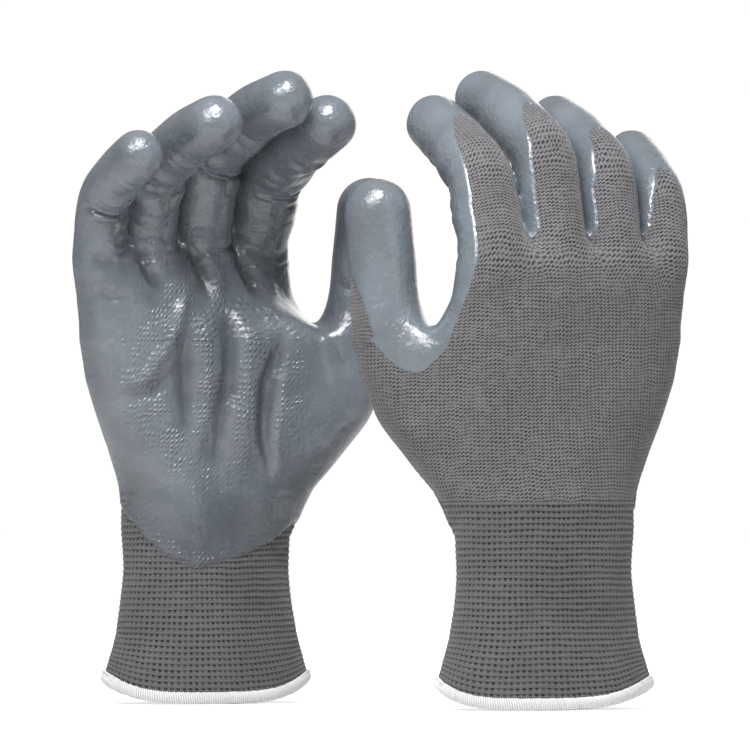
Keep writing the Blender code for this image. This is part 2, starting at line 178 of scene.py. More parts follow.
def wrapped(angles):
    return (angles + math.pi) % (2 * math.pi) - math.pi


def waves(points, length, seed):
    """A smooth random field between about -1 and 1 that changes over the given length."""
    random = np.random.default_rng(seed)
    total = np.zeros(len(points))
    count = 14
    for _ in range(count):
        heading = random.normal(size=3)
        heading *= 2 * math.pi / (length * np.linalg.norm(heading) * random.uniform(0.7, 1.5))
        total += np.sin(points @ heading + random.uniform(0, 2 * math.pi))
    return total / math.sqrt(count / 2) * 0.6


# ---------------------------------------------------------------- the outline of the hand


def read_table(table, height):
    return [float(np.interp(height, table[:, 0], table[:, i])) for i in range(1, table.shape[1])]


def hand_oval(height):
    middle, breadth, depth, square = read_table(HAND_TABLE, height)
    cosine, sine = units(FACINGS).T
    reach = (np.abs(cosine / breadth) ** square + np.abs(sine / depth) ** square) ** (-1 / square)
    return units(FACINGS) * reach[:, None] + (middle, 0.0)


def thumb_disc(height):
    side, forward, radius = read_table(THUMB_TABLE, height)
    return units(FACINGS) * radius + (side, forward)


def with_thumb(height):
    return np.concatenate((hand_oval(height), thumb_disc(height)))


def reach_round(points, centre, angles):
    """How far the outline stretched round the points lies from the centre, and which way it faces."""
    support = ((points - centre) @ units(FACINGS).T).max(axis=0)
    cosine = np.cos(FACINGS[None, :] - angles[:, None])
    bounds = cosine > LEAST_COSINE
    far = np.where(bounds, support[None, :] / np.maximum(cosine, LEAST_COSINE), np.inf)
    return far.min(axis=1), FACINGS[far.argmin(axis=1)]


def reach_line(centre, angles, facing):
    ahead = units(angles) @ facing
    distance = (CROTCH_POINT - centre) @ facing
    return np.where(ahead > LEAST_COSINE, distance / np.maximum(ahead, LEAST_COSINE), np.inf)


def hem_lift(flat, height):
    """How far the cuff rides up towards two opposite sides, fading with the height."""
    share = np.abs(flat @ HEM_RISES_TOWARDS) / HEM_REACH
    return HEM_RISE * share ** 4 * (1 - smooth(0.0, RISE_FADES_BY, height))


def angles_round(columns):
    return np.arange(columns) * 2 * math.pi / columns


def palm_middle(height):
    return PALM_MIDDLE * smooth(WRIST, THUMB_CROTCH, height)


def flat_ring(centre, angles, reach, heights):
    flat = units(angles) * reach[:, None] + centre
    return np.column_stack((flat, np.broadcast_to(heights, angles.shape)))


def hand_ring(height, inset=0.0):
    angles = angles_round(HAND_COLUMNS)
    centre = palm_middle(height)
    return flat_ring(centre, angles, reach_round(with_thumb(height), centre, angles)[0] - inset, height)


def knuckle_ring(height, inset=0.0):
    angles = angles_round(HAND_COLUMNS)
    shared = np.minimum(reach_round(with_thumb(THUMB_CROTCH), KNUCKLE_MIDDLE, angles)[0],
                        reach_line(KNUCKLE_MIDDLE, angles, CROTCH_FACING))
    own = reach_round(hand_oval(height), KNUCKLE_MIDDLE, angles)[0]
    share = smooth(THUMB_CROTCH, THUMB_CROTCH + KNUCKLES_CLEAR_BY, height)
    return flat_ring(KNUCKLE_MIDDLE, angles, shared * (1 - share) + own * share - inset, height)


# ---------------------------------------------------------------- the fingers


def digit_length(digit):
    return sum(length for length, _ in digit["bones"])


def digit_base(digit):
    return THUMB_CROTCH if digit is THUMB else KNUCKLE_LINE


def digit_line(digit, alongs):
    """Middles of a finger at lengths along it, and the lean from upright there."""
    steps = np.linspace(0.0, digit_length(digit), 400)
    lean = np.zeros_like(steps)
    bend_at = HINGE_AT
    before = 0.0
    for length, angle in digit["bones"]:
        lean += (angle - before) * smooth(bend_at - BEND_LENGTH / 2, bend_at + BEND_LENGTH / 2, steps)
        bend_at = length if before == 0.0 else bend_at + length
        before = angle
    lean = np.radians(lean)
    size = steps[1]
    forward = np.concatenate(((0.0,), np.cumsum((np.sin(lean[1:]) + np.sin(lean[:-1])) / 2) * size))
    up = np.concatenate(((0.0,), np.cumsum((np.cos(lean[1:]) + np.cos(lean[:-1])) / 2) * size))
    inside = np.clip(alongs, 0.0, steps[-1])
    below = np.minimum(alongs, 0.0)
    points = np.column_stack((
        digit["root"][0] + digit["drift"] * inside / steps[-1],
        digit["root"][1] + np.interp(inside, steps, forward),
        digit_base(digit) + np.interp(inside, steps, up) + below))
    return points, np.interp(inside, steps, lean)


def digit_radius(digit, along):
    first, last = digit["radius"]
    return first + (last - first) * smooth(ROOT_ROUNDS_BY, digit_length(digit), along)


def digit_ring(digit, along, inset=0.0, shrink=1.0, advance=0.0):
    middles, leans = digit_line(digit, np.array((along,)))
    middle, lean = middles[0], leans[0]
    angles = angles_round(FINGER_COLUMNS)
    share = smooth(0.0, ROOT_ROUNDS_BY, along)
    radius = digit_radius(digit, along)
    breadth, depth = (edge * (1 - share) + radius * share - inset for edge in digit["base"])
    onward = np.array((0.0, math.sin(lean), math.cos(lean)))
    palmward = np.array((0.0, math.cos(lean), -math.sin(lean)))
    ring = (middle + onward * advance
            + (np.cos(angles) * breadth * shrink)[:, None] * (1.0, 0.0, 0.0)
            + (np.sin(angles) * depth * shrink)[:, None] * palmward)
    if digit is THUMB and along < THUMB_ROUNDS_BY:
        centre = np.array(THUMB["root"])
        reach = np.minimum(reach_round(with_thumb(THUMB_CROTCH), centre, angles)[0],
                           reach_line(centre, angles, -CROTCH_FACING)) - inset
        start = flat_ring(centre, angles, reach, THUMB_CROTCH + along)
        share = smooth(0.0, THUMB_ROUNDS_BY, along)
        return start * (1 - share) + ring * share
    return ring


def digit_rings(digit):
    """Rings from inside the hand up to the round tip."""
    sunk = digit_ring(digit, 0.0, 5.0) - (0.0, 0.0, 6.0)
    end = digit_length(digit)
    rings = [sunk] + [digit_ring(digit, along) for along in np.arange(0.0, end, 1.5)]
    tip_radius = digit["radius"][1]
    for step in range(0, 90, 9):
        turn = math.radians(step)
        rings.append(digit_ring(digit, end, 0.0, math.cos(turn), tip_radius * math.sin(turn)))
    return rings


def bones_end(digit):
    """Where each joint of a finger lies along it."""
    ends = np.cumsum([length for length, _ in digit["bones"]])[:-1]
    return [float(end) for end in ends]


# ---------------------------------------------------------------- the soft skin of one hand


def in_scene(points):
    """From side, forward and up to the scene's directions, still in millimetres."""
    return points * (1.0, -1.0, 1.0)


def add_tube(mesh, rings):
    rows = [[mesh.verts.new(place) for place in in_scene(ring)] for ring in rings]
    for low, high in zip(rows, rows[1:]):
        for column in range(len(low)):
            after = (column + 1) % len(low)
            mesh.faces.new((low[column], low[after], high[after], high[column]))
    mesh.faces.new(rows[0])
    mesh.faces.new(rows[-1])


def new_object(name, data):
    made = bpy.data.objects.new(name, data)
    bpy.context.collection.objects.link(made)
    return made


def settled(made):
    """The plain mesh of an object with its modifiers worked out; the object itself is removed."""
    bpy.context.view_layer.update()
    graph = bpy.context.evaluated_depsgraph_get()
    data = bpy.data.meshes.new_from_object(made.evaluated_get(graph))
    bpy.data.objects.remove(made, do_unlink=True)
    return data


def skin_of_hand():
    """Palm, knuckles, thumb and fingers grown into one soft skin."""
    mesh = bmesh.new()
    rings = [hand_ring(height) for height in np.arange(42.0, 131.0, 3.0)]
    rings += [hand_ring(height, inset) for height, inset in ((132.0, 0.0), (135.0, 0.4), (137.5, 2.4))]
    add_tube(mesh, rings)
    rings = [knuckle_ring(THUMB_CROTCH, 5.0) - (0.0, 0.0, 6.0)]
    rings += [knuckle_ring(height) for height in np.arange(THUMB_CROTCH, KNUCKLE_LINE - 2.0, 2.5)]
    rings += [knuckle_ring(height, inset)
              for height, inset in ((158.0, 0.5), (161.5, 1.6), (165.0, 3.6), (168.0, 6.6))]
    add_tube(mesh, rings)
    for digit in DIGITS.values():
        add_tube(mesh, digit_rings(digit))
    bmesh.ops.recalc_face_normals(mesh, faces=mesh.faces)
    data = bpy.data.meshes.new("skin")
    mesh.to_mesh(data)
    mesh.free()
    made = new_object("skin", data)
    grown = made.modifiers.new("grown", "REMESH")
    grown.mode = "VOXEL"
    grown.voxel_size = VOXEL
    soft = made.modifiers.new("soft", "SMOOTH")
    soft.factor = 0.5
    soft.iterations = SOFTENING
    data = settled(made)
    soften_roots(data)
    made = new_object("skin", data)
    fine = made.modifiers.new("fine", "SUBSURF")
    fine.levels = 1
    fine.render_levels = 1
    return settled(made)


def soften_roots(data):
    """Rounds off the web of the thumb and the roots of the fingers more than the rest."""
    points, _, _ = arrays_of(data)
    edges = np.empty(len(data.edges) * 2, np.int32)
    data.edges.foreach_get("vertices", edges)
    edges = edges.reshape(-1, 2)
    first, last = WEB_ENDS
    share = np.clip((points - first) @ (last - first) / ((last - first) @ (last - first)), 0.0, 1.0)
    far = np.linalg.norm(points - first - share[:, None] * (last - first), axis=1)
    web = 1 - smooth(*WEB_SOFT_WITHIN, far)
    heights = points[:, 2]
    roots = smooth(*ROOTS_SOFT[:2], heights) * (1 - smooth(*ROOTS_SOFT[2:], heights))
    weight = 0.5 * np.maximum(web, roots * ~on_thumb_side(points))
    moved = weight[edges].max(axis=1) > 0
    edges = edges[moved]
    near = np.unique(edges)
    edges = np.searchsorted(near, edges)
    count = len(near)
    weight = weight[near, None]
    places = points[near]
    degree = np.bincount(edges.ravel(), minlength=count)[:, None]
    for _ in range(SOFT_ROUNDS):
        total = np.column_stack([
            np.bincount(edges[:, 0], places[edges[:, 1], axis], count)
            + np.bincount(edges[:, 1], places[edges[:, 0], axis], count) for axis in range(3)])
        places += (total / degree - places) * weight
    points[near] = places
    data.vertices.foreach_set("co", in_scene(points).astype(np.float32).ravel())
    data.update()


def arrays_of(data):
    """Corner places as side, forward and up, the way each faces, and the four corners of each face."""
    count = len(data.vertices)
    places = np.empty(count * 3, np.float32)
    data.vertices.foreach_get("co", places)
    facing = np.empty(count * 3, np.float32)
    data.vertices.foreach_get("normal", facing)
    corners = np.empty(len(data.loops), np.int32)
    data.loops.foreach_get("vertex_index", corners)
    flip = np.array((1.0, -1.0, 1.0))
    return (places.reshape(-1, 3).astype(float) * flip, facing.reshape(-1, 3).astype(float) * flip,
            corners.reshape(-1, 4))


# ---------------------------------------------------------------- where each point lies on the glove


class Outline:
    """Arc lengths round the hand at each height and angle, from the middle of its palm or its back."""

    steps = np.radians(np.arange(-180.0, 181.0, 2.0))

    def __init__(self, heights, outline_at, middle_at):
        self.heights = np.array(heights)
        self.middle_at = middle_at
        palm, back, ulnar, thumb = [], [], [], []
        for height in heights:
            centre = middle_at(height)
            points = outline_at(height)
            for rows, angles in ((palm, math.pi / 2 - self.steps), (back, self.steps - math.pi / 2)):
                reach, facing = reach_round(points, centre, angles)
                flat = units(angles) * reach[:, None] + centre
                arc = np.concatenate(((0.0,), np.cumsum(np.linalg.norm(np.diff(flat, axis=0), axis=1))))
                near = np.abs(self.steps) < math.pi / 2
                arc -= np.interp(0.0, flat[near, 0], arc[near])
                rows.append(arc)
                if rows is palm:
                    towards = np.sin(facing)
                    half = len(self.steps) // 2
                    ulnar.append(np.interp(ULNAR_EDGE, towards[:half], arc[:half]))
                    thumb.append(np.interp(THUMB_EDGE, towards[half:][::-1], arc[half:][::-1]))
        self.palm, self.back = np.array(palm), np.array(back)
        self.ulnar, self.thumb = np.array(ulnar), np.array(thumb)

    def read(self, rows, points, start):
        """The arc length at each point; start is the angle that the rows count from."""
        middles = np.array([self.middle_at(height) for height in self.heights])
        centre = np.column_stack([np.interp(points[:, 2], self.heights, middles[:, i]) for i in (0, 1)])
        away = points[:, :2] - centre
        angle = np.arctan2(away[:, 1], away[:, 0])
        turn = wrapped(start - angle) if start > 0 else wrapped(angle - start)
        across = (turn + math.pi) / (self.steps[1] - self.steps[0])
        column = np.clip(across.astype(int), 0, len(self.steps) - 2)
        part = across - column
        row_at = np.interp(points[:, 2], self.heights, np.arange(len(self.heights)))
        row = np.clip(row_at.astype(int), 0, len(self.heights) - 2)
        up = row_at - row
        low = rows[row, column] * (1 - part) + rows[row, column + 1] * part
        high = rows[row + 1, column] * (1 - part) + rows[row + 1, column + 1] * part
        return low * (1 - up) + high * up


def nearest_on_digit(digit, points):
    """Length along the finger, distance from its middle line as a share of its radius, and turn.

    The turn is measured round the finger from its back."""
    end = digit_length(digit)
    alongs = np.arange(-16.0, end + 1.0, 1.0)
    middles, _ = digit_line(digit, alongs)
    best = np.full(len(points), np.inf)
    along = np.zeros(len(points))
    for (first, last), start in zip(zip(middles, middles[1:]), alongs):
        piece = last - first
        share = np.clip((points - first) @ piece / (piece @ piece), 0.0, 1.0)
        gap = ((points - first - share[:, None] * piece) ** 2).sum(axis=1)
        nearer = gap < best
        best[nearer] = gap[nearer]
        along[nearer] = (start + share)[nearer]
    middle, lean = digit_line(digit, along)
    offset = points - middle
    palmward = offset[:, 1] * np.cos(lean) - offset[:, 2] * np.sin(lean)
    beyond = offset[:, 1] * np.sin(lean) + offset[:, 2] * np.cos(lean)
    along = np.where(along >= end - 1e-6, end + np.maximum(beyond, 0.0), along)
    return along, np.sqrt(best) / digit_radius(digit, along), np.arctan2(offset[:, 0], -palmward)


def on_thumb_side(points):
    return (points[:, :2] - CROTCH_POINT) @ CROTCH_FACING > 0


def route_distance(points, route):
    """Distance from a route, and how far along it the nearest place is, as a share."""
    route = np.array(route)
    lengths = np.linalg.norm(np.diff(route, axis=0), axis=1)
    starts = np.concatenate(((0.0,), np.cumsum(lengths)))
    best = np.full(len(points), np.inf)
    along = np.zeros(len(points))
    for first, last, start, length in zip(route, route[1:], starts, lengths):
        piece = last - first
        share = np.clip((points - first) @ piece / (piece @ piece), 0.0, 1.0)
        gap = np.linalg.norm(points - first - share[:, None] * piece, axis=1)
        nearer = gap < best
        best[nearer] = gap[nearer]
        along[nearer] = (start + share * length)[nearer] / starts[-1]
    return best, along


def across_palm(points):
    """Place across the palm as seen square to it."""
    return 0.788 * points[:, 0] + 0.616 * points[:, 1]


def web_cover(points):
    """How far a point lies inside the film over the web of the thumb."""
    across = 0.866 * points[:, 0] + 0.5 * points[:, 1] - THUMB_WEB[0]
    rise = np.where(across < 0, 0.077, 0.045)
    return (points[:, 2] - THUMB_WEB[1] - rise * across ** 2) / np.sqrt(1 + (2 * rise * across) ** 2)


def low_edge_cover(points):
    across = across_palm(points) + 2.0
    rise = np.where(across < 0, 0.024, 0.0118)
    return (points[:, 2] - FILM_LOW - rise * across ** 2) / np.sqrt(1 + (2 * rise * across) ** 2)


# The thumb's knit window lies at this turn from its back, and twists this much more to its end.
THUMB_WINDOW_TURN = 92.0
THUMB_WINDOW_TWIST = 20.0


def digit_cover(name, digit, along, turn):
    """How far a point on a finger lies inside its film; the knit window is outside it."""
    half, narrows, ends = digit["window"]
    half = math.radians(half)
    radius = digit_radius(digit, along)
    closing = np.sqrt(np.clip((ends - along) / (ends - narrows), 0.0, 1.0))
    width = half * np.where(along > narrows, closing, 1.0)
    if name == "thumb":
        middle = np.radians(THUMB_WINDOW_TURN + THUMB_WINDOW_TWIST * np.clip(along / ends, 0.0, 1.0))
        turn = wrapped(turn - middle)
    else:
        free = np.zeros(len(turn), bool)
        if name == "index":
            free = turn > 0
        elif name == "little":
            free = turn < 0
        open_root = math.radians(96.0) - half
        width = width + np.where(free, 0.0, open_root * (1 - smooth(8.0, 17.0, along)))
    return np.maximum(radius * (np.abs(turn) - width), along - ends)


# Turn at which the thumb's stitches meet those of the hand, on its back and on its palm side.
THUMB_BACK_TURN = 60.0
THUMB_PALM_TURN = 40.0


class Hand:
    """One hand's skin and, at each of its points, what the finishes need to know."""

    def __init__(self):
        data = skin_of_hand()
        self.points, self.facing, self.corners = arrays_of(data)
        bpy.data.meshes.remove(data)
        points = self.points
        low = Outline(np.arange(40.0, 138.0, 3.0), with_thumb, palm_middle)
        high = Outline(np.arange(120.0, 174.0, 3.0), hand_oval, lambda height: KNUCKLE_MIDDLE)
        upper = points[:, 2] > THUMB_CROTCH
        self.back = np.where(upper, high.read(high.back, points, -math.pi / 2),
                             low.read(low.back, points, -math.pi / 2))
        self.palm = np.where(upper, high.read(high.palm, points, math.pi / 2),
                             low.read(low.palm, points, math.pi / 2))
        ulnar = np.where(upper, np.interp(points[:, 2], high.heights, high.ulnar),
                         np.interp(points[:, 2], low.heights, low.ulnar))
        thumb = np.where(upper, np.interp(points[:, 2], high.heights, high.thumb),
                         np.interp(points[:, 2], low.heights, low.thumb))
        cover = np.minimum(self.palm - ulnar, thumb - self.palm)
        cover = np.maximum(cover, web_cover(points))
        self.course = points[:, 2].copy()
        self.digit = np.full(len(points), -1)
        self.along = np.full(len(points), -99.0)
        self.turn = np.zeros(len(points))
        self.find_digits()
        cover = self.take_over_digits(cover)
        cover = np.minimum(cover, low_edge_cover(points))
        self.cover = cover + 0.3 * waves(points, 11.0, 3) + 0.16 * waves(points, 3.5, 4)
        self.palmar = smooth(-0.1, 0.6, self.facing[:, 1] - 0.2 * self.facing[:, 2])

    def find_digits(self):
        """Gives each point above the webs to its nearest finger."""
        points = self.points
        best = np.full(len(points), np.inf)
        high = np.where(points[:, 2] > THUMB_CROTCH - 4.0)[0]
        for number, name in enumerate(NAMES):
            along, far, turn = nearest_on_digit(DIGITS[name], points[high])
            if name == "thumb":
                takes = on_thumb_side(points[high]) & (far < 1.8)
            else:
                takes = ((far < best[high]) & (points[high, 2] > KNUCKLE_LINE - 2.0)
                         & ~(on_thumb_side(points[high]) & (points[high, 2] < 190.0)))
            taken = high[takes]
            best[taken] = far[takes] if name != "thumb" else 0.0
            self.digit[taken] = number
            self.along[taken] = along[takes]
            self.turn[taken] = turn[takes]

    def take_over_digits(self, cover):
        """Carries the rows and the film's edge on from the hand to each finger."""
        for number, name in enumerate(NAMES):
            digit = DIGITS[name]
            mine = np.where(self.digit == number)[0]
            along, turn = self.along[mine], self.turn[mine]
            radius = digit_radius(digit, along)
            share = smooth(-2.0, 9.0, along)
            palm_turn = wrapped(turn + math.pi)
            for rows, angle, sign, thumb_turn in ((self.back, turn, 1.0, THUMB_BACK_TURN),
                                                  (self.palm, palm_turn, -1.0, THUMB_PALM_TURN)):
                middle = math.radians(thumb_turn) if name == "thumb" else 0.0
                near = (along < 4.0) & (np.abs(angle * sign - middle) < 0.7)
                own = sign * radius * angle
                shift = np.median((rows[mine] - own)[near])
                rows[mine] = rows[mine] * (1 - share) + (own + shift) * share
            self.course[mine] = (self.course[mine] * (1 - share)
                                 + (digit_base(digit) + along) * share)
            share = smooth(1.0, 9.0, along) if name != "thumb" else smooth(-3.0, 3.0, along)
            cover[mine] = cover[mine] * (1 - share) + digit_cover(name, digit, along, turn) * share
        return cover


def wrinkles(along, across, seed):
    """Sharp valleys between round swells that run across the fabric, between about -0.5 and 0.8."""
    flat = np.column_stack((along / WRINKLE_LENGTH, across / WRINKLE_BREADTH, np.zeros(len(along))))
    return np.sqrt(waves(flat, 1.0, seed) ** 2 + 0.02) - 0.5


def palm_shape(hand):
    """How far the palm side is pressed in or stands proud: folds, wrinkles at the joints, soft waves."""
    points = hand.points
    flat = np.column_stack((across_palm(points), points[:, 2]))
    wander = np.column_stack((waves(points, 24.0, 11), waves(points, 24.0, 12))) * 0.9
    shape = np.zeros(len(points))
    on_finger = (hand.digit >= 0) & (hand.digit != NAMES.index("thumb"))
    on_hand = np.where(on_finger, 1 - smooth(8.0, 19.0, hand.along), 1.0)
    for route, width, depth, fades_in, fades_out in FOLDS:
        far, along = route_distance(flat + wander, route)
        strength = 1 - smooth(fades_out, 1.0, along)
        if fades_in:
            strength *= smooth(0.0, fades_in, along)
        shape -= depth * np.exp(-(far / width) ** 2) * strength * on_hand
    for number, name in enumerate(NAMES):
        digit = DIGITS[name]
        mine = np.where(hand.digit == number)[0]
        along = hand.along[mine]
        ends = bones_end(digit)
        amount = 0.25 * smooth(0.0, 10.0, along) * (1 - smooth(ends[-1], ends[-1] + 12.0, along))
        for joint, reach, depth in zip(ends, (9.0, 6.0), (1.5, 0.6)):
            amount += depth * np.exp(-((along - joint + 1.5) / reach) ** 2)
        amount += 0.8 * np.exp(-((along - 13.0) / 6.0) ** 2) * (name != "thumb")
        across = hand.turn[mine] * digit_radius(digit, along)
        shape[mine] += amount * wrinkles(along, across, 40 + number)
    return shape * hand.palmar + 0.3 * waves(points, 16.0, 5) * hand.palmar


# Where the palm swells against the film: middle and reach, across and up, and the film's low edge.
SWELL_MIDDLE = (2.0, 122.0)
SWELL_REACH = (36.0, 44.0)
LOW_EDGE_BELOW = 90.0


def tautness(hand, shape):
    """Where the knit shows through the film, as bumps and as painted shade in the dips over its stitches:
    on the palm's swells and at its low edge.
    """
    points = hand.points
    flat = np.column_stack((across_palm(points), points[:, 2]))
    from_middle = (flat - SWELL_MIDDLE) / SWELL_REACH
    middle = 1 - smooth(0.7, 1.15, np.hypot(from_middle[:, 0], from_middle[:, 1]))
    base = np.where(hand.digit >= 0, 0.35 * np.exp(-((hand.along - 22.0) / 14.0) ** 2), 0.0)
    swell = smooth(-0.9, 0.2, shape + 0.5 * waves(points, 13.0, 61))
    edge = 0.75 * (1 - smooth(1.0, 9.0, hand.cover)) * (points[:, 2] < LOW_EDGE_BELOW)
    return np.clip(np.maximum(np.maximum(middle, base) * swell * hand.palmar, edge), 0.0, 1.0)


def knit_rows(hand):
    """Low ridges along the rows of the liner."""
    return 0.035 * np.cos(2 * math.pi * hand.course / KNIT_PITCH[1])


def film_painted_shade(hand, shape):
    """Painted shade on the film: darker towards its low edge near the cuff, and down in the folds."""
    low_edge_shade = (1 - smooth(8.0, 34.0, hand.cover)) * (1 - smooth(78.0, 100.0, hand.points[:, 2]))
    return np.maximum(0.9 * low_edge_shade, smooth(0.2, 2.0, -shape) * hand.palmar)


def film_rows(hand):
    """The knit showing through the film where it is drawn tight."""
    across = np.cos(2 * math.pi * hand.palm / FILM_PITCH[0])
    up = np.cos(2 * math.pi * hand.course / FILM_PITCH[1])
    return 0.11 * (0.6 * up + 0.4 * across) * hand.taut


# ---------------------------------------------------------------- setting pieces on a glove


class Place:
    """Where a glove of the frame stands and how it is turned."""

    def __init__(self, label):
        low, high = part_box(label + "_hem")
        self.origin = np.array(((low.x + high.x) / 2, (low.y + high.y) / 2, 0.0))
        joint = next(j for j in frame["joints"] if j["name"] == label + "_index_bend")
        axis = joint["axis"]
        turn = math.atan2(axis[1], axis[0])
        self.turned = np.array(((math.cos(turn), math.sin(turn), 0.0),
                                (-math.sin(turn), math.cos(turn), 0.0), (0.0, 0.0, 1.0)))

    def put(self, points):
        """Places given as side, forward and up in millimetres, in the scene."""
        return in_scene(points) @ self.turned * MM + self.origin


def make_piece(name, place, points, faces, across, up, material, shades=None):
    """A mesh of the faces given, with the knit's stitches and rows as its UV map."""
    used, index = np.unique(faces, return_inverse=True)
    corners = index.reshape(faces.shape)
    data = bpy.data.meshes.new(name)
    data.vertices.add(len(used))
    data.vertices.foreach_set("co", place.put(points[used]).astype(np.float32).ravel())
    data.loops.add(corners.size)
    data.loops.foreach_set("vertex_index", corners.astype(np.int32).ravel())
    data.polygons.add(len(corners))
    data.polygons.foreach_set("loop_start", np.arange(0, corners.size, 4, dtype=np.int32))
    data.update(calc_edges=True)
    layer = data.uv_layers.new(name="stitches")
    flat = np.column_stack((across[faces.ravel()], up[faces.ravel()])).astype(np.float32)
    layer.data.foreach_set("uv", flat.ravel())
    for shade, values in (shades or {}).items():
        layer = data.attributes.new(shade, "FLOAT", "POINT")
        layer.data.foreach_set("value", values[used].astype(np.float32))
    data.shade_smooth()
    data.materials.append(material)
    data.validate()
    return new_object(name, data)


def split(hand, kept):
    """The kept faces by body: the hand's own and each finger's above the height where it parts."""
    corners = hand.corners[kept]
    heights = hand.points[corners, 2].min(axis=1)
    owner = hand.digit[corners].max(axis=1)
    thumb = NAMES.index("thumb")
    floor = np.where(owner == thumb, THUMB_PARTS_AT, FINGERS_PART_AT)
    owner = np.where(heights > floor, owner, -1)
    return {number: corners[owner == number] for number in range(-1, len(NAMES))}


def bend_with(piece, name, place):
    """Bakes a finger's piece in place; the heights where it would bend from the hand are worked out but
    not used.
    """
    side, forward = DIGITS[name]["root"]
    start, end = ((THUMB_PARTS_AT, THUMB_BENDS_BY) if name == "thumb"
                  else (FINGERS_PART_AT, FINGERS_BEND_BY))
    ends = place.put(np.array(((side, forward, start), (side, forward, end))))
    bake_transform(piece)


def make_skins(hand, label, place, knit, film):
    shape = palm_shape(hand)
    hand.taut = tautness(hand, shape)
    # The film's painted shade, in its folds and towards its low edge, goes to its material as an
    # attribute.
    shades = {"taut": hand.taut, "painted_shade": film_painted_shade(hand, shape)}
    inward = smooth(-0.8, 1.5, hand.cover)
    lift = FILM_LIFT + FILM_CUFF_LIFT * (1 - smooth(CUFF_HEIGHT, CUFF_HEIGHT + 4.0, hand.points[:, 2]))
    film_height = FILM_TUCK * (1 - inward) + (lift + film_rows(hand)) * inward + shape
    film_points = hand.points + hand.facing * film_height[:, None]
    knit_points = hand.points + hand.facing * (shape + knit_rows(hand))[:, None]
    course_wave = 0.3 * waves(hand.points, 9.0, 62)
    cover = hand.cover[hand.corners]
    heights = hand.points[hand.corners, 2]
    film_faces = split(hand, (cover.max(axis=1) > -1.0) & (heights.min(axis=1) > FILM_LOW - 4.0))
    knit_faces = split(hand, (cover.min(axis=1) < 2.0) & (heights.min(axis=1) > CUFF_HEIGHT - 0.6))
    for kind, points, faces, across, pitch, material, slot in (
            ("film", film_points, film_faces, hand.palm, FILM_PITCH, film, "rubber_film"),
            ("knit", knit_points, knit_faces, hand.back, KNIT_PITCH, knit, "knit_liner")):
        for number, corners in faces.items():
            part = "hand" if number < 0 else NAMES[number]
            piece = make_piece(f"{label}_{part}_{kind}_skin", place, points, corners,
                               across / pitch[0], hand.course / pitch[1] + course_wave, material,
                               shades if kind == "film" else None)
            if number < 0:
                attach(piece, label + "_glove")
                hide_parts(f"{label}_palm_{kind}", f"{label}_knuckle_{kind}")
            else:
                bend_with(piece, part, place)
                if kind == "film":
                    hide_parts(f"{label}_{part}_film")
                else:
                    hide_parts(f"{label}_{part}_stall", f"{label}_{part}_sleeve")


# ---------------------------------------------------------------- cuff and hem

HEM_RISE = 8.0
HEM_RISES_TOWARDS = np.array((0.829, 0.559))
HEM_REACH = 39.1
RISE_FADES_BY = 34.0
CUFF_COLUMNS = 460
CUFF_ROWS = 156
CUFF_LOW = 2.4
CUFF_WALL = 0.9
HEM_HALF_HEIGHT = 2.05
HEM_HALF_DEPTH = 1.15
HEM_MIDDLE = 2.5
HEM_INSET = 0.75
HEM_YARN = 0.34
HEM_LOOPS = 262


def cuff_ring(angles, height, outward=0.0):
    centre = palm_middle(height)
    reach = reach_round(with_thumb(height), centre, angles)[0] + outward
    ring = flat_ring(centre, angles, reach, height)
    ring[:, 2] += hem_lift(ring[:, :2], height)
    return ring


def cuff_relief(stitch, row):
    """Ridges of the rows and the holes between their stitches."""
    ridge = 0.5 + 0.5 * np.cos(2 * math.pi * row)
    hole = (0.5 + 0.5 * np.cos(2 * math.pi * stitch)) * (0.5 - 0.5 * np.cos(2 * math.pi * row))
    return 0.3 * ridge ** 2 - 0.45 * hole ** 1.5


def grid_faces(rows, columns):
    row, column = np.meshgrid(np.arange(rows - 1), np.arange(columns), indexing="ij")
    after = (column + 1) % columns
    return np.stack((row * columns + column, (row + 1) * columns + column,
                     (row + 1) * columns + after, row * columns + after), axis=-1).reshape(-1, 4)


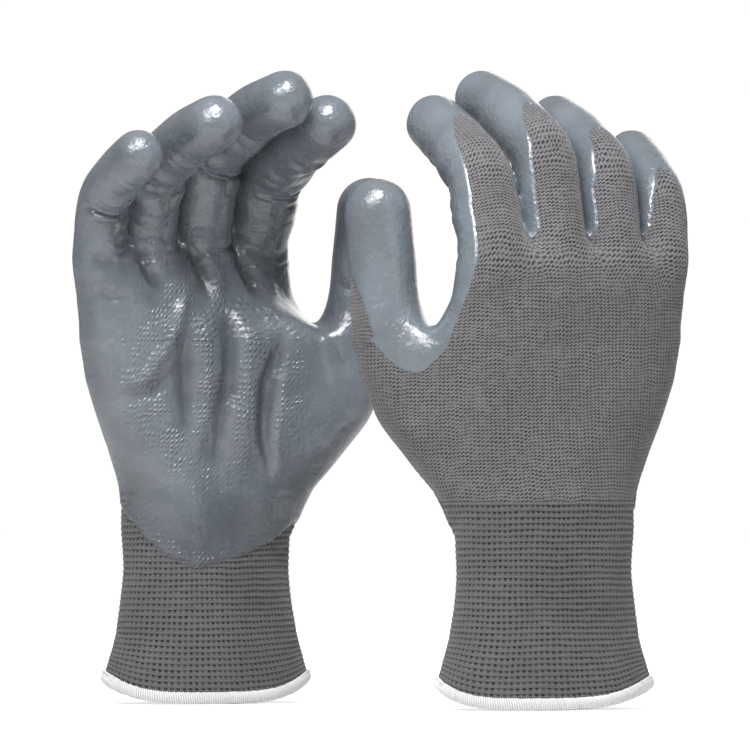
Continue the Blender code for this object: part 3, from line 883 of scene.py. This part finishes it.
def make_cuff(label, place, material):
    angles = angles_round(CUFF_COLUMNS)
    heights = np.linspace(CUFF_LOW, CUFF_HEIGHT + 0.8, CUFF_ROWS)
    rows, stitches, courses = [], [], []
    for height in heights:
        ring = cuff_ring(angles, height)
        arc = np.concatenate(((0.0,), np.cumsum(np.linalg.norm(np.diff(ring[:, :2], axis=0), axis=1))))
        around = arc[-1] + np.linalg.norm(ring[0, :2] - ring[-1, :2])
        spot = units(angles) * 30.0
        spot = np.column_stack((spot, np.full(CUFF_COLUMNS, height)))
        stitch = arc / around * CUFF_STITCHES + 0.12 * waves(spot, 14.0, 31)
        course = height / CUFF_ROW + 0.10 * waves(spot, 26.0, 32) + 0.04 * waves(spot, 6.0, 33)
        tucked = -0.5 * smooth(CUFF_HEIGHT - 1.0, CUFF_HEIGHT, height)
        out = ring[:, :2] - palm_middle(height)
        out /= np.linalg.norm(out, axis=1)[:, None]
        soft = 0.35 * waves(spot, 30.0, 34) * smooth(2.0, 12.0, height) * (1 - smooth(60.0, 77.0, height))
        ring[:, :2] += out * (cuff_relief(stitch, course) + tucked + soft)[:, None]
        rows.append(ring)
        stitches.append(stitch)
        courses.append(course)
    outer_count = len(rows)
    for height in np.linspace(CUFF_HEIGHT + 0.8, CUFF_LOW, 24):
        rows.append(cuff_ring(angles, height, -CUFF_WALL - 0.5))
        stitches.append(stitches[outer_count - 1])
        courses.append(np.full(CUFF_COLUMNS, height / CUFF_ROW))
    points = np.concatenate(rows)
    faces = grid_faces(len(rows), CUFF_COLUMNS)
    last = (len(rows) - 1) * CUFF_COLUMNS
    column = np.arange(CUFF_COLUMNS)
    after = (column + 1) % CUFF_COLUMNS
    rim = np.stack((last + column, column, after, last + after), axis=-1)
    faces = np.concatenate((faces, rim))
    across = np.concatenate(stitches)
    courses = np.concatenate(courses)
    piece = make_piece(label + "_ribbed_cuff", place, points, faces, across, courses, material)
    close_seam(piece.data, CUFF_STITCHES)
    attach(piece, label + "_glove")
    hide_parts(label + "_cuff")


def close_seam(data, period):
    """Carries the stitch count on across the column where it starts again."""
    layer = data.uv_layers["stitches"]
    flat = np.empty(len(layer.data) * 2, np.float32)
    layer.data.foreach_get("uv", flat)
    flat = flat.reshape(-1, 4, 2)
    first = flat[:, :, 0].max(axis=1, keepdims=True)
    flat[:, :, 0] += np.where(first - flat[:, :, 0] > period / 2, period, 0.0)
    layer.data.foreach_set("uv", flat.ravel())


def hem_line(place, columns):
    angles = angles_round(columns)
    ring = cuff_ring(angles, 0.0, -HEM_INSET)
    ring[:, 2] += HEM_MIDDLE
    return place.put(ring)


def loop_tree(material):
    """Loops of yarn set side by side along a closed line, square to it and a little slanted."""
    tree = bpy.data.node_groups.new("overlock_loops", "GeometryNodeTree")
    face = tree.interface
    face.new_socket("Line", in_out="INPUT", socket_type="NodeSocketGeometry")
    face.new_socket("Loops", in_out="INPUT", socket_type="NodeSocketInt")
    for name in ("Half Depth", "Half Height", "Yarn Radius", "Slant"):
        face.new_socket(name, in_out="INPUT", socket_type="NodeSocketFloat")
    face.new_socket("Seed", in_out="INPUT", socket_type="NodeSocketInt")
    face.new_socket("Loops Made", in_out="OUTPUT", socket_type="NodeSocketGeometry")
    nodes, links = tree.nodes, tree.links
    given = nodes.new("NodeGroupInput")
    line = nodes.new("GeometryNodeMeshToCurve")
    spaced = nodes.new("GeometryNodeResampleCurve")
    along = nodes.new("GeometryNodeInputTangent")
    upright = nodes.new("FunctionNodeAlignRotationToVector")
    upright.axis = "Z"
    square = nodes.new("FunctionNodeAlignRotationToVector")
    square.axis = "Y"
    square.pivot_axis = "Z"
    square.inputs["Vector"].default_value = (0.0, 0.0, 1.0)
    ring = nodes.new("GeometryNodeCurvePrimitiveCircle")
    ring.inputs["Resolution"].default_value = 14
    ring.inputs["Radius"].default_value = 1.0
    size = nodes.new("ShaderNodeCombineXYZ")
    size.inputs["Z"].default_value = 1.0
    tilt = nodes.new("ShaderNodeCombineXYZ")
    shaped = nodes.new("GeometryNodeTransform")
    yarn = nodes.new("GeometryNodeCurvePrimitiveCircle")
    yarn.inputs["Resolution"].default_value = 6
    tube = nodes.new("GeometryNodeCurveToMesh")
    put = nodes.new("GeometryNodeInstanceOnPoints")
    uneven = nodes.new("FunctionNodeRandomValue")
    uneven.data_type = "FLOAT"
    uneven.inputs[2].default_value = 0.94
    uneven.inputs[3].default_value = 1.05
    real = nodes.new("GeometryNodeRealizeInstances")
    round_off = nodes.new("GeometryNodeSetShadeSmooth")
    coat = nodes.new("GeometryNodeSetMaterial")
    coat.inputs["Material"].default_value = material
    result = nodes.new("NodeGroupOutput")
    links.new(given.outputs["Line"], line.inputs["Mesh"])
    links.new(line.outputs["Curve"], spaced.inputs["Curve"])
    links.new(given.outputs["Loops"], spaced.inputs["Count"])
    links.new(along.outputs["Tangent"], upright.inputs["Vector"])
    links.new(upright.outputs["Rotation"], square.inputs["Rotation"])
    links.new(given.outputs["Half Depth"], size.inputs["X"])
    links.new(given.outputs["Half Height"], size.inputs["Y"])
    links.new(given.outputs["Slant"], tilt.inputs["X"])
    links.new(ring.outputs["Curve"], shaped.inputs["Geometry"])
    links.new(size.outputs["Vector"], shaped.inputs["Scale"])
    links.new(tilt.outputs["Vector"], shaped.inputs["Rotation"])
    links.new(given.outputs["Yarn Radius"], yarn.inputs["Radius"])
    links.new(shaped.outputs["Geometry"], tube.inputs["Curve"])
    links.new(yarn.outputs["Curve"], tube.inputs["Profile Curve"])
    links.new(spaced.outputs["Curve"], put.inputs["Points"])
    links.new(tube.outputs["Mesh"], put.inputs["Instance"])
    links.new(square.outputs["Rotation"], put.inputs["Rotation"])
    links.new(given.outputs["Seed"], uneven.inputs["Seed"])
    links.new(uneven.outputs[1], put.inputs["Scale"])
    links.new(put.outputs["Instances"], real.inputs["Geometry"])
    links.new(real.outputs["Geometry"], round_off.inputs["Geometry"])
    links.new(round_off.outputs["Geometry"], coat.inputs["Geometry"])
    links.new(coat.outputs["Geometry"], result.inputs["Loops Made"])
    return tree


def set_inputs(modifier, tree, values):
    for item in tree.interface.items_tree:
        if item.item_type == "SOCKET" and item.in_out == "INPUT" and item.name in values:
            modifier[item.identifier] = values[item.name]


def make_hem(label, place, tree, core_material, seed):
    line = hem_line(place, 240)
    mesh = bmesh.new()
    spots = [mesh.verts.new(spot) for spot in line]
    for spot, after in zip(spots, spots[1:] + spots[:1]):
        mesh.edges.new((spot, after))
    data = bpy.data.meshes.new("hem_line")
    mesh.to_mesh(data)
    mesh.free()
    made = new_object("hem_line", data)
    loops = made.modifiers.new("loops", "NODES")
    loops.node_group = tree
    set_inputs(loops, tree, {"Loops": HEM_LOOPS, "Half Depth": HEM_HALF_DEPTH * MM,
                             "Half Height": HEM_HALF_HEIGHT * MM, "Yarn Radius": HEM_YARN * MM,
                             "Slant": 0.22, "Seed": seed})
    piece = new_object(label + "_overlock_stitches", settled(made))
    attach(piece, label + "_glove")
    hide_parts(label + "_hem")

    angles = angles_round(240)
    rows = []
    for turn in np.linspace(0.0, 2 * math.pi, 17)[:-1]:
        ring = cuff_ring(angles, 0.0, -HEM_INSET + HEM_HALF_DEPTH * math.cos(turn))
        ring[:, 2] += HEM_MIDDLE + HEM_HALF_HEIGHT * math.sin(turn)
        rows.append(ring)
    faces = grid_faces(len(rows) + 1, 240) % (len(rows) * 240)
    points = np.concatenate(rows)
    core = make_piece(label + "_hem_core", place, points, faces[:, ::-1],
                      np.tile(angles, len(rows)), points[:, 2], core_material)
    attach(core, label + "_glove")


# ---------------------------------------------------------------- finishes


def linked(tree, value, socket):
    """Feeds a socket from a number, a colour or another node's output."""
    if isinstance(value, bpy.types.NodeSocket):
        tree.links.new(value, socket)
    elif value is not None:
        socket.default_value = value


def calculate(tree, operation, first, second=None, third=None, clamp=False):
    node = tree.nodes.new("ShaderNodeMath")
    node.operation = operation
    node.use_clamp = clamp
    for value, socket in zip((first, second, third), node.inputs):
        linked(tree, value, socket)
    return node.outputs[0]


def ramp(tree, value, low, high, to_low=0.0, to_high=1.0):
    node = tree.nodes.new("ShaderNodeMapRange")
    node.interpolation_type = "SMOOTHSTEP"
    for name, given in (("Value", value), ("From Min", low), ("From Max", high),
                        ("To Min", to_low), ("To Max", to_high)):
        linked(tree, given, node.inputs[name])
    return node.outputs["Result"]


def blend_colours(tree, share, first, second, kind="MIX"):
    node = tree.nodes.new("ShaderNodeMix")
    node.data_type = "RGBA"
    node.blend_type = kind
    linked(tree, share, node.inputs[0])
    linked(tree, first, node.inputs[6])
    linked(tree, second, node.inputs[7])
    return node.outputs[2]


def noise(tree, place, scale, detail=2.0, rough=0.5):
    node = tree.nodes.new("ShaderNodeTexNoise")
    linked(tree, place, node.inputs["Vector"])
    node.inputs["Scale"].default_value = scale
    node.inputs["Detail"].default_value = detail
    node.inputs["Roughness"].default_value = rough
    return node.outputs["Fac"]


def new_group(name, given, put_out):
    """An empty shader node group with named inputs, each with a start value, and named outputs."""
    tree = bpy.data.node_groups.new(name, "ShaderNodeTree")
    for socket_name, kind, start in given:
        socket = tree.interface.new_socket(socket_name, in_out="INPUT", socket_type="NodeSocket" + kind)
        if start is not None:
            socket.default_value = start
    for socket_name, kind in put_out:
        tree.interface.new_socket(socket_name, in_out="OUTPUT", socket_type="NodeSocket" + kind)
    return tree, tree.nodes.new("NodeGroupInput").outputs, tree.nodes.new("NodeGroupOutput").inputs


def stitch_group():
    """Openings between stitches, darkened in the colour as painted shade: one slanted oval in each unit of
    the stitch count.
    """
    tree, given, out = new_group(
        "stitch_openings",
        (("Stitches", "Vector", None), ("Length", "Float", 0.36), ("Height", "Float", 0.2),
         ("Slant", "Float", 0.3), ("Shift", "Float", 0.0), ("Soft", "Float", 0.6)),
        (("Opening", "Float"),))
    apart = tree.nodes.new("ShaderNodeSeparateXYZ")
    linked(tree, given["Stitches"], apart.inputs[0])
    row = calculate(tree, "ADD", apart.outputs["Y"], given["Shift"])
    across = calculate(tree, "SUBTRACT", calculate(tree, "FRACT", apart.outputs["X"]), 0.5)
    up = calculate(tree, "SUBTRACT", calculate(tree, "FRACT", row), 0.5)
    leaned = calculate(tree, "SUBTRACT", up, calculate(tree, "MULTIPLY", across, given["Slant"]))
    wide = calculate(tree, "DIVIDE", across, given["Length"])
    tall = calculate(tree, "DIVIDE", leaned, given["Height"])
    far = calculate(tree, "ADD", calculate(tree, "MULTIPLY", wide, wide),
                    calculate(tree, "MULTIPLY", tall, tall))
    linked(tree, ramp(tree, far, given["Soft"], 1.5, 1.0, 0.0), out["Opening"])
    return tree


def cloth_group():
    """Uneven dye, loose fibres and slight soiling of yarn."""
    tree, given, out = new_group(
        "yarn_variation",
        (("Colour", "Color", (0.5, 0.5, 0.5, 1.0)), ("Patches", "Float", 0.12), ("Fibres", "Float", 0.2)),
        (("Colour", "Color"), ("Fuzz", "Float")))
    place = tree.nodes.new("ShaderNodeTexCoord").outputs["Object"]
    patch = noise(tree, place, 45.0, 3.0)
    fibre = noise(tree, place, 1900.0, 3.0, 0.65)
    patch_shade = ramp(tree, patch, 0.3, 0.7, 1.0, 0.0)
    dim = calculate(tree, "SUBTRACT", 1.0, calculate(tree, "MULTIPLY", patch_shade, given["Patches"]))
    fibre_shade = calculate(tree, "MULTIPLY", calculate(tree, "SUBTRACT", fibre, 0.5), given["Fibres"])
    dim = calculate(tree, "ADD", dim, calculate(tree, "MULTIPLY", fibre_shade, 2.0))
    shade = tree.nodes.new("ShaderNodeCombineColor")
    for name in ("Red", "Green", "Blue"):
        linked(tree, dim, shade.inputs[name])
    linked(tree, blend_colours(tree, 1.0, given["Colour"], shade.outputs[0], "MULTIPLY"), out["Colour"])
    linked(tree, fibre, out["Fuzz"])
    return tree


def placed_group(tree, group, **values):
    node = tree.nodes.new("ShaderNodeGroup")
    node.node_tree = group
    for name, value in values.items():
        linked(tree, value, node.inputs[name.replace("_", " ")])
    return node.outputs


def new_material(name, **constants):
    material = bpy.data.materials.new(name)
    material.use_nodes = True
    tree = material.node_tree
    surface = tree.nodes["Principled BSDF"]
    for key, value in constants.items():
        surface.inputs[key.replace("_", " ")].default_value = value
    return material, tree, surface.inputs


def stitches_of(tree):
    node = tree.nodes.new("ShaderNodeUVMap")
    node.uv_map = "stitches"
    return node.outputs["UV"]


def attribute_of(tree, name):
    node = tree.nodes.new("ShaderNodeAttribute")
    node.attribute_name = name
    return node.outputs["Fac"]


def bump(tree, height, strength, distance, under=None):
    node = tree.nodes.new("ShaderNodeBump")
    node.inputs["Strength"].default_value = strength
    node.inputs["Distance"].default_value = distance
    linked(tree, height, node.inputs["Height"])
    linked(tree, under, node.inputs["Normal"])
    return node.outputs["Normal"]


KNIT_YARN = (0.158, 0.155, 0.161, 1.0)
# Near-black painted shade for the openings between stitches, in the liner and the cuff.
KNIT_HOLE_SHADE = (0.012, 0.0115, 0.0125, 1.0)
CUFF_YARN = (0.122, 0.12, 0.125, 1.0)
FILM_DEEP = (0.106, 0.122, 0.140, 1.0)
FILM_PALE = (0.142, 0.162, 0.184, 1.0)
# Painted shade of the film, in its folds, in its dips over the stitches and towards its low edge.
FILM_SHADE = (0.036, 0.042, 0.049, 1.0)


def knit_material(name, groups, yarn, gap, openings, second, depth):
    """Knitted yarn: openings between the stitches, and a second fainter line of them, darkened as painted
    shade.
    """
    material, tree, surface = new_material(name, Roughness=0.88, Sheen_Weight=0.25, Sheen_Roughness=0.5,
                                           Specular_IOR_Level=0.2)
    stitches = stitches_of(tree)
    main = placed_group(tree, groups["stitch"], Stitches=stitches, **openings)
    faint = placed_group(tree, groups["stitch"], Stitches=stitches, **second)
    cloth = placed_group(tree, groups["cloth"], Colour=yarn, Patches=0.14, Fibres=0.22)
    fainter = calculate(tree, "MULTIPLY", faint["Opening"], 0.45)
    opening = calculate(tree, "MAXIMUM", main["Opening"], fainter)
    uneven = noise(tree, tree.nodes.new("ShaderNodeTexCoord").outputs["Object"], 420.0, 2.0)
    opening = calculate(tree, "MULTIPLY", opening, ramp(tree, uneven, 0.3, 0.6, 0.55, 1.0))
    # Painted shade: the openings between stitches are darkened towards a near-black colour.
    linked(tree, blend_colours(tree, opening, cloth["Colour"], gap), surface["Base Color"])
    height = calculate(tree, "SUBTRACT", calculate(tree, "MULTIPLY", cloth["Fuzz"], 0.35), opening)
    linked(tree, bump(tree, height, 0.7, depth), surface["Normal"])
    return material


def film_material(groups):
    """Glossy dipped rubber, with the knit showing through it where it is drawn tight; its colour carries
    painted shade in the folds, in the dips over the stitches and towards its low edge.
    """
    material, tree, surface = new_material("rubber_film_gloss", Specular_IOR_Level=0.6,
                                           Coat_Roughness=0.14, Coat_Weight=0.28)
    place = tree.nodes.new("ShaderNodeTexCoord").outputs["Object"]
    main = placed_group(tree, groups["stitch"], Stitches=stitches_of(tree), Length=0.42, Height=0.3,
                        Slant=0.3, Soft=0.0)
    taut = attribute_of(tree, "taut")
    patch = noise(tree, place, 55.0, 3.0)
    grain = noise(tree, place, 600.0, 3.0, 0.6)
    colour = blend_colours(tree, ramp(tree, patch, 0.3, 0.7), FILM_DEEP, FILM_PALE)
    # Painted shade: the film's colour darkens in the dips over the stitch openings where it is drawn
    # tight.
    dip_shade = calculate(tree, "MULTIPLY", calculate(tree, "MULTIPLY", main["Opening"], taut), 0.12)
    # Painted shade: the film's colour darkens in the folds and towards its low edge, read from the
    # attribute.
    shaded = calculate(tree, "ADD", dip_shade, calculate(tree, "MULTIPLY", attribute_of(tree, "painted_shade"), 0.6))
    linked(tree, blend_colours(tree, shaded, colour, FILM_SHADE), surface["Base Color"])
    gloss = noise(tree, place, 160.0, 3.0)
    linked(tree, ramp(tree, gloss, 0.25, 0.75, 0.17, 0.3), surface["Roughness"])
    shown = ramp(tree, noise(tree, place, 260.0, 2.0), 0.35, 0.65, 0.3, 1.0)
    knit = calculate(tree, "MULTIPLY", calculate(tree, "MULTIPLY", main["Opening"], taut), shown)
    lumps = calculate(tree, "MULTIPLY", noise(tree, place, 300.0, 2.0, 0.5), 0.65)
    fine = calculate(tree, "MULTIPLY", grain, 0.5)
    height = calculate(tree, "ADD", calculate(tree, "ADD", knit, lumps), fine)
    linked(tree, bump(tree, height, 0.8, 0.0006), surface["Normal"])
    return material


def yarn_material(name, colour, groups, patches, fibres):
    material, tree, surface = new_material(name, Roughness=0.85, Sheen_Weight=0.2, Sheen_Roughness=0.5)
    cloth = placed_group(tree, groups["cloth"], Colour=colour, Patches=patches, Fibres=fibres)
    linked(tree, cloth["Colour"], surface["Base Color"])
    linked(tree, bump(tree, cloth["Fuzz"], 0.5, 0.0002), surface["Normal"])
    return material


def make_materials():
    groups = {"stitch": stitch_group(), "cloth": cloth_group()}
    return {
        "knit": knit_material("grey_liner_knit", groups, KNIT_YARN, KNIT_HOLE_SHADE,
                              {"Length": 0.62, "Height": 0.27, "Slant": -0.5, "Soft": 0.0},
                              {"Length": 0.3, "Height": 0.1, "Slant": 0.6, "Shift": 0.5}, 0.0006),
        "cuff": knit_material("grey_cuff_knit", groups, CUFF_YARN, KNIT_HOLE_SHADE,
                              {"Length": 0.31, "Height": 0.24, "Slant": 0.1},
                              {"Length": 0.46, "Height": 0.09, "Slant": 0.0, "Shift": 0.36}, 0.0008),
        "film": film_material(groups),
        "overlock": yarn_material("white_overlock_yarn", (0.68, 0.68, 0.675, 1.0), groups, 0.05, 0.08),
        "core": yarn_material("hem_core_yarn", (0.42, 0.42, 0.415, 1.0), groups, 0.15, 0.2),
        "elastic": yarn_material("covered_elastic", (0.58, 0.56, 0.53, 1.0), groups, 0.1, 0.3),
    }


# ---------------------------------------------------------------- stage, light and camera


# Strength of the white backdrop as the camera sees it, and of the sky that lights the gloves.
BACKDROP_GLOW = 0.74
SKY_GLOW = 0.28


def make_stage():
    mesh = bmesh.new()
    bmesh.ops.create_grid(mesh, x_segments=1, y_segments=1, size=4.0)
    data = bpy.data.meshes.new("studio_floor")
    mesh.to_mesh(data)
    mesh.free()
    floor = new_object("studio_floor", data)
    material, tree, surface = new_material("pale_floor", Roughness=0.9, Specular_IOR_Level=0.1)
    surface["Base Color"].default_value = (0.93, 0.93, 0.93, 1.0)
    surface["Emission Color"].default_value = (1.0, 1.0, 1.0, 1.0)
    linked(tree, calculate(tree, "MULTIPLY", seen_rays(tree), BACKDROP_GLOW),
           surface["Emission Strength"])
    data.materials.append(material)


def seen_rays(tree):
    """1 for what the camera sees itself, so that the white backdrop isn't mirrored in the rubber."""
    return tree.nodes.new("ShaderNodeLightPath").outputs["Is Camera Ray"]


def make_world():
    world = bpy.data.worlds.new("studio")
    world.use_nodes = True
    tree = world.node_tree
    sky = tree.nodes["Background"]
    sky.inputs["Color"].default_value = (1.0, 1.0, 1.0, 1.0)
    backdrop = calculate(tree, "MULTIPLY", seen_rays(tree), BACKDROP_GLOW)
    strength = calculate(tree, "ADD", SKY_GLOW, backdrop)
    linked(tree, strength, sky.inputs["Strength"])
    bpy.context.scene.world = world


# Each lamp: its name, place, diameter and power.
LAMPS = (
    ("key", (-0.55, -0.85, 0.95), 0.45, 7.6),
    ("top", (0.0, -0.34, 0.72), 0.32, 6.4),
    ("fill", (1.2, -1.2, 0.35), 0.8, 1.5),
    ("behind", (0.5, 1.4, 0.45), 1.0, 4.0),
)
LIT_POINT = (0.0, 0.0, 0.13)


def make_lamp(name, place, size, power):
    lamp = bpy.data.lights.new(name, "AREA")
    lamp.shape = "DISK"
    lamp.size = size
    lamp.energy = power
    made = new_object(name, lamp)
    made.location = place
    aim = np.array(LIT_POINT) - np.array(place)
    made.rotation_euler = (math.atan2(math.hypot(aim[0], aim[1]), -aim[2]), 0.0,
                           math.atan2(aim[1], aim[0]) - math.pi / 2)


PICTURE_WIDTH = 0.2775
CAMERA_FAR = 10.0
SENSOR = 36.0
CAMERA_RISE = math.radians(0.6)
PICTURE_MIDDLE = (0.0003, 0.1225)


def make_camera(places):
    lens = bpy.data.cameras.new("camera")
    lens.sensor_width = SENSOR
    lens.lens = SENSOR * CAMERA_FAR / PICTURE_WIDTH
    lens.clip_start = 0.5
    lens.clip_end = 100.0
    camera = new_object("camera", lens)
    middle = sum(place.origin[0] for place in places) / len(places) + PICTURE_MIDDLE[0]
    camera.location = (middle, -CAMERA_FAR * math.cos(CAMERA_RISE),
                       PICTURE_MIDDLE[1] + CAMERA_FAR * math.sin(CAMERA_RISE))
    camera.rotation_euler = (math.pi / 2 - CAMERA_RISE, 0.0, 0.0)
    bpy.context.scene.camera = camera


def main():
    places = {label: Place(label) for label in LABELS}
    make_camera(places.values())
    finishes = make_materials()
    hand = Hand()
    tree = loop_tree(finishes["overlock"])
    for seed, (label, place) in enumerate(places.items()):
        make_skins(hand, label, place, finishes["knit"], finishes["film"])
        make_cuff(label, place, finishes["cuff"])
        make_hem(label, place, tree, finishes["core"], seed)
        thread = frame["nodes"][label + "_elastic_thread"]
        thread.data.materials.clear()
        thread.data.materials.append(finishes["elastic"])
    make_stage()
    make_world()
    for lamp in LAMPS:
        make_lamp(*lamp)
    bpy.context.scene.view_settings.view_transform = "Standard"


main()
